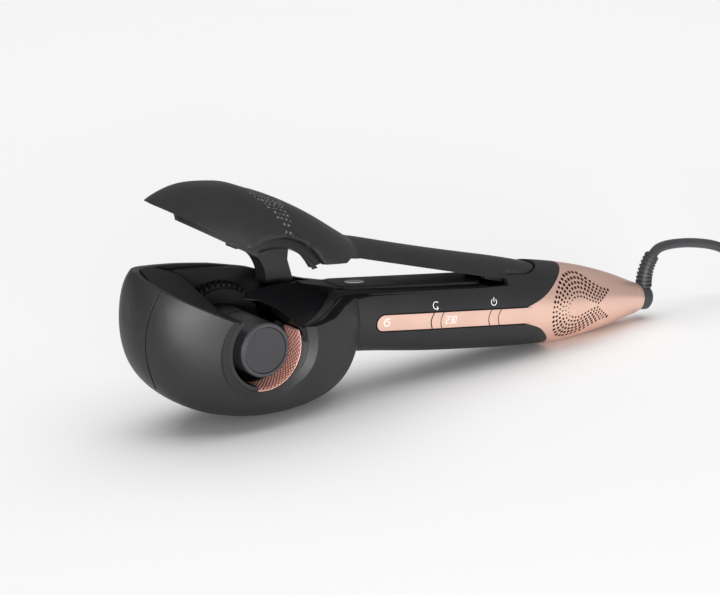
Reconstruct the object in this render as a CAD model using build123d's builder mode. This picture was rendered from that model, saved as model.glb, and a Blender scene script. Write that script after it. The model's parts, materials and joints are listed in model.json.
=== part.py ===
"""Automatic hair curler: an egg-shaped winding head on a long handle, with a hinged hood.

The model is drawn in a design frame: the origin is on the barrel axis at the middle plane,
+X runs from the nose to the tail, +Z is the hood side and -Y is the open side of the head.
Each finished piece is then laid on its belly and its handle, with +Z up.
"""
from build123d import *
import math
import os

os.makedirs("parts", exist_ok=True)

# ------------------------------------------------------------------ driving dimensions, mm
wall = 2.4                   # housing wall
hood_wall = 2.2
fit = 0.3                    # gap between separate mouldings
barrel_r = 13.1
barrel_tip_y = -29.6
chamber_r = 19.9             # mouth of the winding chamber
liner_r = 17.8               # inner radius of the chamber liner
liner_outer_r = 19.7
mouth_y = 13.0               # inner end of the chamber, where the rotor starts
hook_inner_r = 14.0
hook_outer_r = 16.2
gear_module = 1.0
ring_teeth = 44
pinion_teeth = 12
gear_face = (14.0, 18.0)     # the gears' faces along Y
motor_angle = -35.0          # direction of the motor from the barrel axis
handle_axis_z = 8.0
rim_z = 21.6                 # top edge of the handle's lower shell
deck_top_z = 23.8
hinge_x = 163.0
hinge_z = 22.0
pin_r = 1.6
open_angle = 8.5             # how far the hood stands open at rest
strip_z = (3.0, 11.1)
strip_x = (68.5, 161.0)
button_x = {"button_curl": 103.7, "button_power": 138.4}
button_width = 5.6
cord_r = 2.6
rest_tilt = 8.2              # the handle slopes down to the tail by this much at rest
rest_shift = (-100.96, -0.7, 38.9)

# x, lowest z, highest z, half width and squareness of each cross-section
head_stations = [
    (-58.8, 8.5, 20.0, 3.5, 2.2),
    (-57.7, 1.5, 29.0, 9.0, 2.2),
    (-55.3, -6.5, 34.0, 13.5, 2.2),
    (-50.3, -15.0, 38.0, 18.8, 2.3),
    (-43.0, -22.3, 42.2, 23.6, 2.4),
    (-33.0, -28.8, 45.8, 27.8, 2.5),
    (-22.0, -33.4, 47.6, 31.0, 2.6),
    (-8.0, -36.4, 47.4, 33.2, 2.7),
    (8.0, -37.2, 45.4, 34.0, 2.7),
    (22.0, -36.2, 42.2, 33.2, 2.6),
    (35.0, -33.8, 38.2, 31.0, 2.5),
    (46.0, -30.0, 34.4, 27.6, 2.4),
    (54.0, -25.0, 31.6, 23.4, 2.3),
    (60.0, -17.0, 28.0, 17.5, 2.2),
    (63.0, -8.0, 22.0, 11.0, 2.1),
]
handle_stations = [
    (44.0, -4.5, 29.5, 14.0, 2.1),
    (54.0, -9.4, 31.3, 18.8, 2.1),
    (66.0, -10.4, 31.5, 19.9, 2.1),
    (85.0, -11.2, 31.2, 20.4, 2.1),
    (106.0, -12.3, 31.1, 20.8, 2.1),
    (135.0, -12.9, 31.4, 21.2, 2.1),
    (160.0, -12.9, 31.4, 21.4, 2.1),
    (180.0, -12.5, 30.3, 20.9, 2.05),
    (194.0, -11.4, 28.7, 19.8, 2.0),
    (211.0, -8.5, 25.7, 17.0, 2.0),
    (225.0, -5.3, 22.2, 13.7, 2.0),
    (236.0, -2.3, 18.7, 10.5, 2.0),
    (241.0, -1.0, 17.0, 9.0, 2.0),
]

to_row = Location(rest_shift, (0, rest_tilt, 0))
to_open = Pos(hinge_x, 0, hinge_z) * Rot(0, open_angle, 0) * Pos(-hinge_x, 0, -hinge_z)


def save(solid, node, hood=False):
    """Lay a finished piece in its resting place and write it."""
    placed = (to_row * to_open if hood else to_row) * solid
    placed.label = node
    export_step(placed, f"parts/{node}.step")


# ------------------------------------------------------------------ shared forms
def section(x, low, high, half_width, squareness):
    """One closed superellipse cross-section of the body."""
    middle = (low + high) / 2
    half_height = (high - low) / 2
    count = 16
    points = []
    for step in range(count):
        angle = 2 * math.pi * step / count
        across = math.copysign(abs(math.cos(angle)) ** (2 / squareness), math.cos(angle))
        up = math.copysign(abs(math.sin(angle)) ** (2 / squareness), math.sin(angle))
        points.append((half_width * across, middle + half_height * up))
    with BuildSketch(Plane(origin=(x, 0, 0), x_dir=(0, 1, 0), z_dir=(1, 0, 0))) as outline:
        with BuildLine():
            Spline(*points, periodic=True)
        make_face()
    return outline.sketch


def body_form(inset):
    """The closed outer form of head and handle, drawn in all round by an inset."""
    head = []
    for x, low, high, half_width, squareness in head_stations:
        lean = max(-1.0, min(1.0, (4 - x) / 40))
        shown_width = max(half_width - inset, 0.8)
        head.append(section(x + inset * lean, low + inset, high - inset, shown_width, squareness))
    handle = []
    for x, low, high, half_width, squareness in handle_stations:
        handle.append(section(x, low + inset, high - inset, half_width - inset, squareness))
    with BuildPart() as form:
        loft(sections=head)
        loft(sections=handle)
    return form.part


def slab(points, y_from, y_to):
    """A side-view outline (x, z) carried across from y_from up to y_to."""
    with BuildPart() as block:
        with BuildSketch(Plane.XZ.offset(-y_to)):
            with BuildLine():
                Polyline(*points, close=True)
            make_face()
        extrude(amount=y_to - y_from)
    return block.part


def drum(x, z, radius, y_from, y_to):
    """A cylinder along Y."""
    with BuildPart() as rod:
        with BuildSketch(Plane.XZ.offset(-y_to)):
            with Locations((x, z)):
                Circle(radius)
        extrude(amount=y_to - y_from)
    return rod.part


def block(x_range, y_range, z_range):
    """A box between two corners."""
    with BuildPart() as brick:
        with Locations(((x_range[0] + x_range[1]) / 2, (y_range[0] + y_range[1]) / 2,
                        (z_range[0] + z_range[1]) / 2)):
            Box(x_range[1] - x_range[0], y_range[1] - y_range[0], z_range[1] - z_range[0])
    return brick.part


def ring_sector(inner_r, outer_r, start, sweep, y_from, y_to):
    """Part of a tube wall round the barrel axis, from a start angle through a sweep."""
    with BuildPart() as arc_wall:
        with BuildSketch(Plane.XZ.offset(-y_to)):
            with BuildLine():
                inner = CenterArc((0, 0), inner_r, start, sweep)
                outer = CenterArc((0, 0), outer_r, start, sweep)
                Line(inner @ 0, outer @ 0)
                Line(inner @ 1, outer @ 1)
            make_face()
        extrude(amount=y_to - y_from)
    return arc_wall.part


def tongue(half_width, end_x, z_from, z_to, start_x):
    """A plank with a round end, as seen from above."""
    centre = end_x - half_width
    with BuildPart() as plank:
        with BuildSketch(Plane.XY.offset(z_from)):
            with BuildLine():
                Line((centre, half_width), (start_x, half_width))
                Line((start_x, half_width), (start_x, -half_width))
                Line((start_x, -half_width), (centre, -half_width))
                ThreePointArc((centre, -half_width), (end_x, 0), (centre, half_width))
            make_face()
        extrude(amount=z_to - z_from)
    return plank.part


outer_form = body_form(0)
inner_form = body_form(wall)
hood_inner_form = body_form(hood_wall)
shell_form = outer_form - inner_form

# ------------------------------------------------------------------ what is cut away
# The near top edge and the ramp lie in one plane that falls to the chamber and the near side.
ramp_plane = Plane(origin=(-55.6, 0, 33.0), z_dir=(0.3005, -0.2323, 1))
with BuildPart() as ramp_space:
    with BuildSketch(ramp_plane):
        Rectangle(220, 220)
    extrude(amount=70)
    add(block((-80, -12.3), (-45, mouth_y), (-60, 80)), mode=Mode.INTERSECT)

near_rim = [(-12.4, 13.1), (20.0, 10.3), (29.0, 11.6), (37.5, 13.7), (44.8, 18.2),
            (52.6, 20.3), (66.0, rim_z)]
far_rim = [(-80, 33.0), (-55, 33.0), (-38, 31.3), (0, 29.5), (20, 27.5), (38, 23.6),
           (50, 21.9), (66, rim_z)]
handle_rim = [(65.9, rim_z), (135, rim_z + 0.2), (147.2, 22.2)]
near_space = slab(near_rim + [(66, 80), (-12.4, 80)], -45, mouth_y)
far_space = slab(far_rim + [(66, 80), (-80, 80)], 0, 45)
handle_space = slab(handle_rim + [(147.2, 80), (65.9, 80)], -45, 45)
slot_space = tongue(13.6, 172.9, rim_z + 0.6, 80, 140)
upper_space = ramp_space.part + near_space + far_space + handle_space + slot_space

with BuildPart() as mouth_space:
    add(drum(0, 0, chamber_r, -45, mouth_y))
    with Locations(Plane.XZ.offset(29.6)):
        Cone(chamber_r, chamber_r + 12.0, 5.0, align=(Align.CENTER, Align.CENTER, Align.MIN))

cap_upper_seam = [(158, 11.3), (161.4, 12.7), (164.8, 14.1), (168.5, 16.0), (172.4, 18.6), (176.6, 21.7),
                  (180.4, 24.4), (184.4, 27.0), (188.8, 29.4), (193.5, 31.6)]
cap_lower_seam = [(181.5, -14.0), (179.4, -9.4), (175.6, -5.5), (172.0, -2.6), (168.6, -0.4), (164.8, 1.0),
                  (161.4, 2.0), (158, 2.8)]
with BuildPart() as cap_space:
    with BuildSketch(Plane.XZ.offset(-45)):
        with BuildLine():
            Spline(*cap_upper_seam)
            Polyline(cap_upper_seam[-1], (196, 60), (260, 60), (260, -40), (181.5, -40), cap_lower_seam[0])
            Spline(*cap_lower_seam)
            Line(cap_lower_seam[-1], cap_upper_seam[0])
        make_face()
    extrude(amount=90)


def nose_space(gap):
    """Everything ahead of the curved nose seam."""
    with BuildPart() as ahead:
        with BuildSketch(Plane.XZ.offset(-45)):
            with BuildLine():
                ThreePointArc((-45 + gap, 36), (-55.2 + gap, 8), (-42 + gap, -23))
                Polyline((-42 + gap, -23), (-42 + gap, -60), (-90, -60), (-90, 36), (-45 + gap, 36))
            make_face()
        extrude(amount=90)
    return ahead.part


floor_space = to_row.inverse() * block((-400, 400), (-100, 100), (-100, 0))

# ------------------------------------------------------------------ the side strip and its buttons
strip_middle_z = (strip_z[0] + strip_z[1]) / 2
strip_half = (strip_z[1] - strip_z[0]) / 2
strip_back_y = -17.8


def strip_outline(margin, y_to):
    """The long rounded window that the strip sits in."""
    with BuildPart() as window:
        with BuildSketch(Plane.XZ.offset(-y_to)):
            with BuildLine():
                start = strip_x[0] + strip_half
                half = strip_half + margin
                ThreePointArc((start, strip_middle_z + half), (strip_x[0] - margin, strip_middle_z),
                              (start, strip_middle_z - half))
                Polyline((start, strip_middle_z - half), (strip_x[1], strip_middle_z - half),
                         (strip_x[1], strip_middle_z + half), (start, strip_middle_z + half))
            make_face()
        extrude(amount=45 + y_to)
    return window.part


def crescent(x, grow, y_to):
    """A button's outline: both ends are arcs that bulge towards the nose."""
    left = x - button_width / 2 - grow
    right = x + button_width / 2 + grow
    low = strip_z[0] - 1
    high = strip_z[1] + 1
    bulge = 2.4
    with BuildPart() as button:
        with BuildSketch(Plane.XZ.offset(-y_to)):
            with BuildLine():
                ThreePointArc((left + bulge / 2, low), (left - bulge / 2, strip_middle_z),
                              (left + bulge / 2, high))
                Line((left + bulge / 2, high), (right + bulge / 2, high))
                ThreePointArc((right + bulge / 2, high), (right - bulge / 2, strip_middle_z),
                              (right + bulge / 2, low))
                Line((right + bulge / 2, low), (left + bulge / 2, low))
            make_face()
        extrude(amount=45 + y_to)
    return button.part


strip_window = strip_outline(0.12, strip_back_y + 1.6)
strip_solid = outer_form & strip_outline(0, strip_back_y)

# ------------------------------------------------------------------ housing halves
screw_places = [(75.0, -5.0), (122.0, -7.5), (156.0, -7.5), (-30.0, -22.0)]
screw_r = 1.3
bosses = [drum(x, z, 3.4, -45, 45) for x, z in screw_places]
stem_holes = [drum(x, strip_middle_z, 2.2, -45, -10) for x in button_x.values()]


def housing(y_from, y_to):
    """Half of the head-and-handle moulding, between two planes across Y."""
    with BuildPart() as half:
        add(shell_form)
        add(cap_space.part, mode=Mode.SUBTRACT)
        for boss in bosses:
            add(boss & outer_form)
        add(upper_space, mode=Mode.SUBTRACT)
        add(mouth_space.part, mode=Mode.SUBTRACT)
        add(nose_space(0.25), mode=Mode.SUBTRACT)
        add(floor_space, mode=Mode.SUBTRACT)
        for x, z in screw_places:
            add(drum(x, z, screw_r, -12, 12), mode=Mode.SUBTRACT)
        add(strip_window, mode=Mode.SUBTRACT)
        for hole in stem_holes:
            add(hole, mode=Mode.SUBTRACT)
        add(block((-100, 300), (y_from, y_to), (-100, 100)), mode=Mode.INTERSECT)
    return half.part


with BuildPart() as housing_near:
    add(housing(-60, 0))
housing_near.part.label = "housing_near"
save(housing_near.part, "housing_near")

with BuildPart() as housing_far:
    add(housing(0, 60))
housing_far.part.label = "housing_far"
save(housing_far.part, "housing_far")

with BuildPart() as nose_cap:
    add(shell_form)
    add(nose_space(0), mode=Mode.INTERSECT)
    add(upper_space, mode=Mode.SUBTRACT)
save(nose_cap.part, "nose_cap")

with BuildPart() as housing_screws:
    for x, z in screw_places:
        add(drum(x, z, screw_r, -11, 11))
save(housing_screws.part, "housing_screws")

# ------------------------------------------------------------------ rear cap and its end ring
with BuildPart() as rear_cap:
    add(shell_form)
    add(cap_space.part, mode=Mode.INTERSECT)
    add(strip_window, mode=Mode.SUBTRACT)
    add(floor_space, mode=Mode.SUBTRACT)
    add(block((240, 260), (-45, 45), (-45, 60)), mode=Mode.SUBTRACT)
save(rear_cap.part, "rear_cap")

with BuildPart() as rear_ring:
    with BuildSketch(Plane.XZ):
        with BuildLine():
            Polyline((240, handle_axis_z + 7.0), (240, handle_axis_z + 9.2), (242.5, handle_axis_z + 8.6),
                     (246, handle_axis_z + 7.4), (246, handle_axis_z + 4.8), (244.6, handle_axis_z + 4.8),
                     (244.6, handle_axis_z + 7.0), close=True)
        make_face()
    revolve(axis=Axis((0, 0, handle_axis_z), (1, 0, 0)))
save(rear_ring.part, "rear_ring")

# ------------------------------------------------------------------ side strip
cuts = sorted(button_x.values())
strip_runs = {"strip_front": (60, cuts[0]), "strip_middle": (cuts[0], cuts[1]), "strip_rear": (cuts[1], 170)}
for node, (x_from, x_to) in strip_runs.items():
    with BuildPart() as run:
        add(strip_solid)
        for x in cuts:
            add(crescent(x, 0.15, 0), mode=Mode.SUBTRACT)
        add(block((x_from, x_to), (-45, 0), (-10, 25)), mode=Mode.INTERSECT)
    save(run.part, node)

for node, x in button_x.items():
    with BuildPart() as button:
        add(strip_solid)
        add(crescent(x, 0, 0), mode=Mode.INTERSECT)
        add(drum(x, strip_middle_z, 1.6, -18.5, -14.9))
    save(button.part, node)

# ------------------------------------------------------------------ barrel and chamber
with BuildPart() as barrel:
    with BuildSketch(Plane.XZ.offset(-14.25)):
        Circle(barrel_r)
        Circle(barrel_r - 1.6, mode=Mode.SUBTRACT)
    extrude(amount=14.25 - barrel_tip_y - 0.8)
    with BuildSketch(Plane.XZ.offset(3.0)):
        Circle(barrel_r + 1)
        Circle(barrel_r - 0.35, mode=Mode.SUBTRACT)
    extrude(amount=0.7, mode=Mode.SUBTRACT)
save(barrel.part, "barrel")

with BuildPart() as barrel_end_ring:
    with BuildSketch(Plane.XZ.offset(-barrel_tip_y - 1.6)):
        Circle(barrel_r)
        Circle(11.25, mode=Mode.SUBTRACT)
    extrude(amount=1.6)
    chamfer(barrel_end_ring.edges().group_by(Axis.Y)[0].sort_by(SortBy.RADIUS)[-1], 0.7)
    add(drum(0, 0, barrel_r + 5, barrel_tip_y + 0.8, 20) - drum(0, 0, 11.4, -40, 20), mode=Mode.SUBTRACT)
save(barrel_end_ring.part, "barrel_end_ring")

with BuildPart() as barrel_end_disc:
    add(drum(0, 0, 11.1, barrel_tip_y + 0.25, barrel_tip_y + 2.4))
    fillet(barrel_end_disc.edges().group_by(Axis.Y)[0], 0.5)
save(barrel_end_disc.part, "barrel_end_disc")

with BuildPart() as barrel_hub:
    add(drum(0, 0, 17.52, 14.25, 18.4))
    add(drum(0, 0, 21.0, 18.4, 21.0))
    for angle in (30, 150, 270):
        add(drum(15 * math.cos(math.radians(angle)), 15 * math.sin(math.radians(angle)), 3, 21, 27))
    add(drum(0, 0, 8, 0, 40), mode=Mode.SUBTRACT)
save(barrel_hub.part, "barrel_hub")

with BuildPart() as heater:
    add(block((-7, 7), (-24, 10), (-2.2, 2.2)))
    add(block((-9.5, 9.5), (-24, 10), (2.2, 4.4)))
    add(block((-9.5, 9.5), (-24, 10), (-4.4, -2.2)))
save(heater.part, "heater")

with BuildPart() as thermistor:
    add(drum(0, 6.4, 1.2, -12, -4))
    add(drum(0, 6.4, 0.5, -4, 12))
save(thermistor.part, "thermistor")

knurl_start = -97
with BuildPart() as chamber_liner:
    add(ring_sector(liner_r, liner_outer_r, knurl_start, 27 - knurl_start, -29.4, -17.5))
save(chamber_liner.part, "chamber_liner")

with BuildPart() as chamber_wall:
    add(ring_sector(liner_r, liner_outer_r, 133, 360 + knurl_start - 133, -29.4, -17.5))
    add(ring_sector(liner_r, liner_outer_r, 133, 254, -17.5, -9))
    add(ring_sector(liner_r, liner_outer_r, 133, 225, -9, 11.4))
save(chamber_wall.part, "chamber_wall")

# ------------------------------------------------------------------ ramp, deck plate, deck
guide_form = body_form(wall + 0.1)
with BuildPart() as ramp_guide:
    with BuildSketch(ramp_plane.offset(-2.6)):
        Rectangle(220, 220)
    extrude(amount=2.4)
    add(guide_form, mode=Mode.INTERSECT)
    add(block((-80, -21), (-40, 19.4), (-40, 60)), mode=Mode.INTERSECT)
    add(drum(0, 0, liner_outer_r + 1, -40, 20), mode=Mode.SUBTRACT)
    add(block((-36, 14), (21.3, 22.9), (14, 28.4)) & guide_form)
    add(block((-36, 14), (22, 40), (26.4, 28.4)) & guide_form)
    add(nose_space(-1), mode=Mode.SUBTRACT)
    add(drum(0, 0, 24, 10, 19.3), mode=Mode.SUBTRACT)
save(ramp_guide.part, "ramp_guide")


def deck_profile(y, top, floor_z):
    """Side-view profile of the deck plate at one place across, with a smooth top."""
    with BuildSketch(Plane.XZ.offset(-y)) as profile:
        with BuildLine():
            Spline(*top)
            Polyline(top[-1], (top[-1][0], floor_z), (top[0][0], floor_z), top[0])
        make_face()
    return profile.sketch


with BuildPart() as deck_plate:
    loft(sections=[deck_profile(-8.4, [(-2.8, 20.6), (9.5, 25.4), (22.7, 26.8), (36, 25.6), (50, 23.8)], 12),
                   deck_profile(-31.5, [(20, 9.6), (26, 10.4), (32, 11.8), (38, 14.4), (47, 19)], 3)])
    add(guide_form, mode=Mode.INTERSECT)
    add(drum(0, 0, liner_outer_r + 0.6, -45, 20), mode=Mode.SUBTRACT)
save(deck_plate.part, "deck_plate")

deck_end_x = 137.0
pad_x = 66.0
with BuildPart() as inner_deck:
    add(block((38.6, deck_end_x), (-30, 30), (19.8, 21.2)))
    add(block((30, 50.8), (-40, -8.2), (0, 40)), mode=Mode.SUBTRACT)
    with BuildSketch(Plane.XY.offset(21.2)):
        with Locations(((52.0 + deck_end_x) / 2, 0)):
            RectangleRounded(deck_end_x - 52.0, 22, 6)
    extrude(amount=deck_top_z - 21.2)
    fillet(inner_deck.faces().sort_by(Axis.Z)[-1].edges(), 1.4)
    add(block((38.6, 54), (-8.0, 9.6), (21.2, deck_top_z - 0.4)))
    add(guide_form, mode=Mode.INTERSECT)
    with BuildSketch(Plane.XY.offset(10)):
        with Locations((pad_x, 0)):
            Ellipse(5.65, 3.15)
    extrude(amount=30, mode=Mode.SUBTRACT)
save(inner_deck.part, "inner_deck")

with BuildPart() as switch_plunger:
    with BuildSketch(Plane.XY.offset(18.4)):
        with Locations((pad_x, 0)):
            Ellipse(5.5, 3.0)
    extrude(amount=deck_top_z + 0.4 - 18.4)
    fillet(switch_plunger.edges().group_by(Axis.Z)[-1], 0.35)
save(switch_plunger.part, "switch_plunger")

with BuildPart() as micro_switch:
    add(block((pad_x - 6.4, pad_x + 6.4), (-3.2, 3.2), (9.6, 16.0)))
    add(block((pad_x - 1.2, pad_x + 1.2), (-1.2, 1.2), (16.0, 16.8)))
save(micro_switch.part, "micro_switch")

with BuildPart() as guide_pocket:
    add(block((36.8, 38.2), (-8.0, 21.0), (0, 22)))
    add(block((25.2, 38.2), (19.6, 21.0), (0, 22)))
    add(block((25.2, 38.2), (-8.0, 21.0), (-1.4, 0)))
save(guide_pocket.part, "guide_pocket")

# ------------------------------------------------------------------ rotor, gears and motor
def involute(radius, base_r):
    pressure = math.acos(min(1.0, base_r / radius))
    return math.tan(pressure) - pressure


def gear_outline(teeth, tooth_angle):
    """Stub-toothed spur gear outline, with one tooth centred on tooth_angle (radians)."""
    pitch_r = teeth * gear_module / 2
    base_r = pitch_r * math.cos(math.radians(20))
    tip_r = pitch_r + 0.75 * gear_module
    root_r = pitch_r - 1.0 * gear_module
    backlash = 0.22
    half_at_pitch = (math.pi * gear_module / 2 - backlash) / 2 / pitch_r
    flank_start = max(base_r, root_r + 0.1)
    flank = [flank_start + (tip_r - flank_start) * k / 3 for k in range(4)]
    halves = [(r, half_at_pitch + involute(pitch_r, base_r) - involute(r, base_r)) for r in flank]
    halves.insert(0, (root_r, halves[0][1]))
    points = []
    for tooth in range(teeth):
        centre = tooth_angle + 2 * math.pi * tooth / teeth
        for radius, half in halves:
            points.append((radius * math.cos(centre - half), radius * math.sin(centre - half)))
        for radius, half in reversed(halves):
            points.append((radius * math.cos(centre + half), radius * math.sin(centre + half)))
    return points


mesh_direction = math.radians(motor_angle)
centre_distance = gear_module * (ring_teeth + pinion_teeth) / 2
motor_x = centre_distance * math.cos(mesh_direction)
motor_z = centre_distance * math.sin(mesh_direction)

with BuildPart() as rotor_gear:
    with BuildSketch(Plane.XZ.offset(-gear_face[1])):
        with BuildLine():
            Polyline(*gear_outline(ring_teeth, mesh_direction), close=True)
        make_face()
        Circle(17.6, mode=Mode.SUBTRACT)
    extrude(amount=gear_face[1] - gear_face[0])
save(rotor_gear.part, "rotor_gear")

with BuildPart() as rotor_hook:
    add(drum(0, 0, 20.6, 11.8, gear_face[0]))
    add(drum(0, 0, hook_inner_r, 0, 20), mode=Mode.SUBTRACT)
    add(ring_sector(hook_inner_r, hook_outer_r, 196, 40, -13, 11.9))
    add(ring_sector(hook_inner_r, hook_outer_r, 150, 50, -13, -9))
save(rotor_hook.part, "rotor_hook")

with BuildPart() as motor_pinion:
    with BuildSketch(Plane.XZ.offset(-gear_face[1])):
        with BuildLine():
            outline = gear_outline(pinion_teeth, mesh_direction + math.pi + math.pi / pinion_teeth)
            Polyline(*[(motor_x + x, motor_z + z) for x, z in outline], close=True)
        make_face()
    extrude(amount=gear_face[1] - gear_face[0])
    add(drum(motor_x, motor_z, 1.45, 9.0, gear_face[1] + 0.5))
save(motor_pinion.part, "motor_pinion")

with BuildPart() as gearmotor:
    add(drum(motor_x, motor_z, 7.0, -11.5, 12.6))
    add(drum(motor_x, motor_z, 3.4, 12.6, 13.6))
    add(drum(motor_x, motor_z, 2.6, -13.5, -11.5))
    add(drum(motor_x, motor_z, 1.5, 8.5, 14.0), mode=Mode.SUBTRACT)
save(gearmotor.part, "gearmotor")

# ------------------------------------------------------------------ electronics
with BuildPart() as main_board:
    add(block((84, 148), (-9, 9), (1.0, 2.6)))
    add(block((104, 116), (-6, 6), (2.6, 5.0)))
    add(block((122, 134), (-7, 3), (2.6, 11.5)))
    add(block((139, 145), (-6, 6), (2.6, 6.0)))
save(main_board.part, "main_board")

with BuildPart() as buzzer:
    with BuildSketch(Plane.XY.offset(2.6)):
        with Locations((92, 0)):
            Circle(5)
    extrude(amount=5)
save(buzzer.part, "buzzer")

with BuildPart() as display_board:
    add(block((74, 148), (-13.6, -12.2), (0.8, 13.2)))
    add(block((108.5, 118.5), (-16.4, -13.6), (strip_z[0] + 1, strip_z[1] - 1)))
save(display_board.part, "display_board")

# ------------------------------------------------------------------ hinge
with BuildPart() as hinge_pin:
    add(drum(hinge_x, hinge_z, pin_r, -11.8, 11.8))
save(hinge_pin.part, "hinge_pin")

with BuildPart() as hinge_bracket:
    add(drum(hinge_x, hinge_z, 3.8, -4.4, 4.4))
    add(block((hinge_x - 3.8, hinge_x + 3.8), (-4.4, 4.4), (0, hinge_z)))
    add(block((hinge_x - 9, hinge_x + 9), (-4.4, 4.4), (-10.4, 2)))
    add(drum(hinge_x, hinge_z, pin_r, -10, 10), mode=Mode.SUBTRACT)
    add(drum(156.0, -7.5, 3.6, -45, 45), mode=Mode.SUBTRACT)
    add(guide_form, mode=Mode.INTERSECT)
save(hinge_bracket.part, "hinge_bracket")

with BuildPart() as hood_spring:
    add(drum(hinge_x, hinge_z, 2.7, 9.1, 10.3) - drum(hinge_x, hinge_z, 2.0, 9, 12))
    add(block((hinge_x + 2.05, hinge_x + 2.65), (9.1, 9.8), (10.0, hinge_z)))
save(hood_spring.part, "hood_spring")

with BuildPart() as hinge_leaf:
    for side in (-1, 1):
        low, high = sorted((side * 4.8, side * 8.8))
        add(drum(hinge_x, hinge_z, 3.8, low, high))
        add(block((139, hinge_x), (low, high), (hinge_z - 1.6, 25.6)))
    add(block((139, 146), (-8.8, 8.8), (hinge_z + 0.4, 25.6)))
    add(drum(hinge_x, hinge_z, pin_r + 0.06, -20, 20), mode=Mode.SUBTRACT)
save(hinge_leaf.part, "hinge_leaf", hood=True)

# ------------------------------------------------------------------ hood and upper arm
arm_edge_z = 23.2


def hood_space(lift):
    """The space over the lower shells that the closed hood fills, raised by a lift."""
    with BuildPart() as near_part:
        with BuildSketch(Plane.XZ):
            with BuildLine():
                Polyline((-8.5, 20.9 + lift), (-56, 33.8 + lift), (-90, 33.8 + lift), (-90, 80), (146, 80),
                         (146, 23.4 + lift), (134, 22.7 + lift), (60, arm_edge_z + lift), (46.5, 23.4 + lift),
                         (43, 21.4 + lift), (28, 20.0 + lift), (19.5, 17.2 + lift))
                ThreePointArc((19.5, 17.2 + lift), (6.5, 24.6 + lift), (-8.5, 20.9 + lift))
            make_face()
        extrude(amount=45)
    far = slab([(-90, 33.8 + lift), (-55, 33.8 + lift), (-38, 32.1 + lift), (0, 30.2 + lift),
                (20, 28.2 + lift), (38, 24.3 + lift), (50, arm_edge_z + lift), (134, 22.7 + lift),
                (146, 23.4 + lift), (146, 80), (-90, 80)], 0, 45)
    return near_part.part + far + tongue(12.7, 171.0, 24.8 + lift, 80, 140)


arch_recess_r = 25.2         # the shell is set back round the arch as far out as this
with BuildPart() as hood_shell:
    add(outer_form)
    add(hood_inner_form, mode=Mode.SUBTRACT)
    add(hood_space(0), mode=Mode.INTERSECT)
    with Locations(Plane((6, -26.0, 2.6), x_dir=(1, 0, 0), z_dir=(0, -1, 0))):
        Cone(arch_recess_r, arch_recess_r + 4.0, 6.0, align=(Align.CENTER, Align.CENTER, Align.MIN),
             mode=Mode.SUBTRACT)
save(hood_shell.part, "hood_shell", hood=True)

liner_form = body_form(hood_wall + 0.1)
liner_hollow = body_form(hood_wall + 1.7)
arch_edge = [(-8.6, 21.2), (-5.5, 22.9), (-2, 24.1), (2, 24.8), (6.5, 24.9), (10.5, 24.2), (14, 22.6), (17, 20.2),
             (19.6, 17.6), (27.5, 20.4), (29.5, 26.0)]
with BuildPart() as hood_insert:
    add(liner_form - liner_hollow)
    add(slab([(-47, 60), (-46, 28.8), (-10.5, 19.2)] + arch_edge + [(44, 26.0), (44, 60)], -45, 0)
        + slab([(-47, 60), (-46, 34.2), (0, 31.6), (44, 29.0), (44, 60)], 0, 45), mode=Mode.INTERSECT)
    add(block((-4, 30), (-30, 30), (35.0, 36.6)) & liner_form)
save(hood_insert.part, "hood_insert", hood=True)

with BuildPart() as guide_saddle:
    with BuildSketch(Plane.XZ.offset(-10.8)):
        with BuildLine():
            inner_arc = CenterArc((0, 0), liner_r, 10, 90)
            Polyline(inner_arc @ 0, (33.0, 5.2), (26.6, 16.0), (24.0, 34.8), (-4.2, 34.8), inner_arc @ 1)
        make_face()
    extrude(amount=9.8)
    add(liner_hollow, mode=Mode.INTERSECT)
save(guide_saddle.part, "guide_saddle", hood=True)

with BuildPart() as arm_cover:
    add(block((52, 138), (-14, 14), (24.6, 26.0)))
    add(liner_form, mode=Mode.INTERSECT)
save(arm_cover.part, "arm_cover", hood=True)

with BuildPart() as hood_screws:
    for x in (70, 100, 130):
        with BuildSketch(Plane.XY.offset(26.0)):
            with Locations((x, 0)):
                Circle(1.4)
        extrude(amount=1.6)
save(hood_screws.part, "hood_screws", hood=True)

# ------------------------------------------------------------------ swivel, boot and contacts
def turned(points):
    """A piece turned about the handle axis from (x, radius) points."""
    with BuildPart() as lathe:
        with BuildSketch(Plane.XZ):
            with BuildLine():
                Polyline(*[(x, handle_axis_z + r) for x, r in points], close=True)
            make_face()
        revolve(axis=Axis((0, 0, handle_axis_z), (1, 0, 0)))
    return lathe.part


with BuildPart() as swivel_socket:
    add(turned([(230, 4.06), (230, 6.4), (244.6, 6.4), (244.6, 4.06)]))
save(swivel_socket.part, "swivel_socket")

with BuildPart() as slip_contacts:
    add(turned([(224, 1.5), (224, 3.6), (225.2, 3.6), (225.2, 1.5)]))
    add(turned([(227, 1.5), (227, 3.6), (228.2, 3.6), (228.2, 1.5)]))
save(slip_contacts.part, "slip_contacts")

boot_path = ThreePointArc((250.6, 0, 13.5), (251.2, 0, 23.4), (254.4, 0, 30.6), mode=Mode.PRIVATE)
with BuildPart() as swivel_collar:
    add(turned([(232, 0), (232, 4.0), (246.3, 4.0), (246.3, 6.3), (247.2, 6.7), (252.0, 6.7), (253.4, 5.6),
                (253.4, 0)]))
    add(turned([(245.4, 4.0), (245.4, 4.5), (246.35, 4.5), (246.35, 4.0)]))
save(swivel_collar.part, "swivel_collar")

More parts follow.
